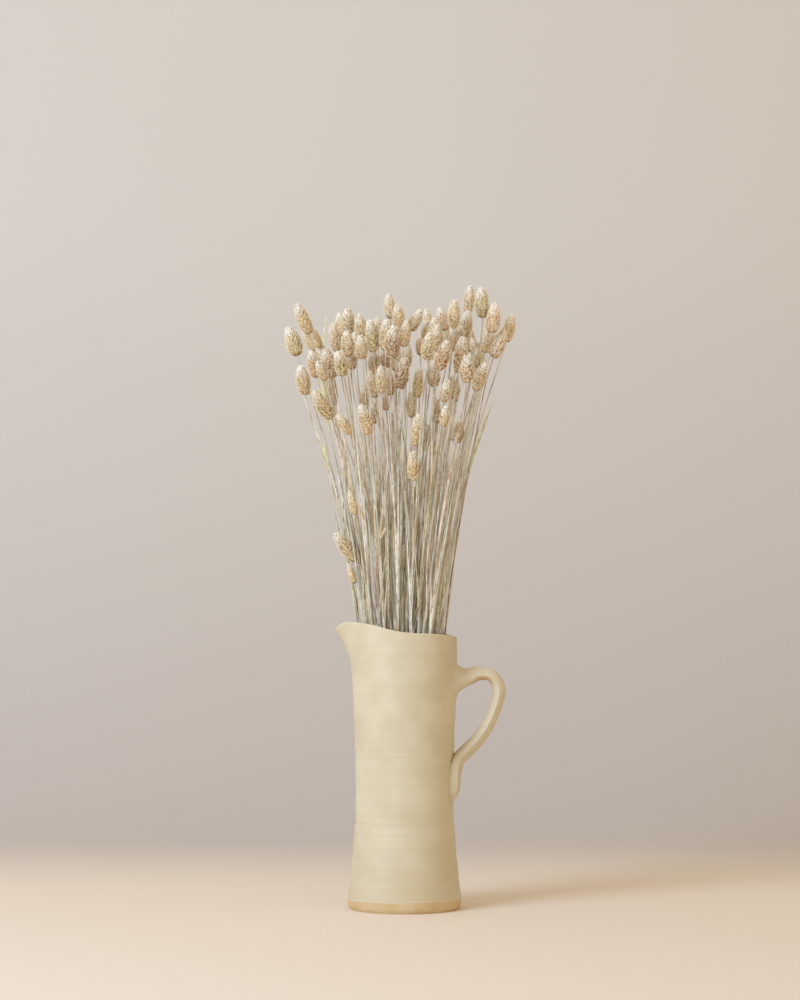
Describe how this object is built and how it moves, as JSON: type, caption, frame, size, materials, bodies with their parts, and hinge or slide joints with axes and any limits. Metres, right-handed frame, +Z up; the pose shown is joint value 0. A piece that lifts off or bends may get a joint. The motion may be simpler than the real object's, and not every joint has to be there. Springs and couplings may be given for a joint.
{
  "type": "dried canary grass",
  "caption": "Bunch of dried canary grass: thin straw stems with egg-shaped heads of pointed scales, standing in a tall pale ceramic jug with a pulled spout and a strap handle.",
  "frame": {"origin": "the middle of the jug's foot, on the surface it stands on", "axes": "+Z up along the jug's axis, +X towards the handle, -X towards the spout, -Y towards the front as the jug is seen with its spout at the left"},
  "size_m": [0.2358, 0.1688, 0.6242],
  "materials": {
    "ceramic": "matte pale cream glaze with faint throwing rings, bare warm clay in a band at the foot",
    "straw": "dry and matte: tan seed heads with pale tips, grey-green to straw stems, olive leaves"
  },
  "bodies": {
    "root": {"jug": "ceramic", "stalk_01": "straw", "stalk_02_08": "straw", "stalk_03_21": "straw", "stalk_04_05": "straw", "stalk_06_19": "straw", "stalk_07": "straw", "stalk_09": "straw", "stalk_10": "straw", "stalk_11": "straw", "stalk_12": "straw", "stalk_13_15": "straw", "stalk_14": "straw", "stalk_16": "straw", "stalk_17_67": "straw", "stalk_18": "straw", "stalk_20_82": "straw", "stalk_22": "straw", "stalk_23_25": "straw", "stalk_24_86": "straw", "stalk_26": "straw", "stalk_27": "straw", "stalk_28_30": "straw", "stalk_29_84": "straw", "stalk_31_37": "straw", "stalk_32": "straw", "stalk_33_69": "straw", "stalk_34_35": "straw", "stalk_36": "straw", "stalk_38_72": "straw", "stalk_39": "straw", "stalk_40_62": "straw", "stalk_41": "straw", "stalk_42_73": "straw", "stalk_43_58": "straw", "stalk_44_54": "straw", "stalk_45_77": "straw", "stalk_46_60": "straw", "stalk_47_50": "straw", "stalk_48": "straw", "stalk_49_52": "straw", "stalk_51": "straw", "stalk_53_76": "straw", "stalk_55": "straw", "stalk_56": "straw", "stalk_57": "straw", "stalk_59_79": "straw", "stalk_61": "straw", "stalk_63": "straw", "stalk_64": "straw", "stalk_65": "straw", "stalk_66": "straw", "stalk_68": "straw", "stalk_70": "straw", "stalk_71": "straw", "stalk_74": "straw", "stalk_75_80": "straw", "stalk_78": "straw", "stalk_81": "straw", "stalk_83_85": "straw"}
  },
  "joints": []
}
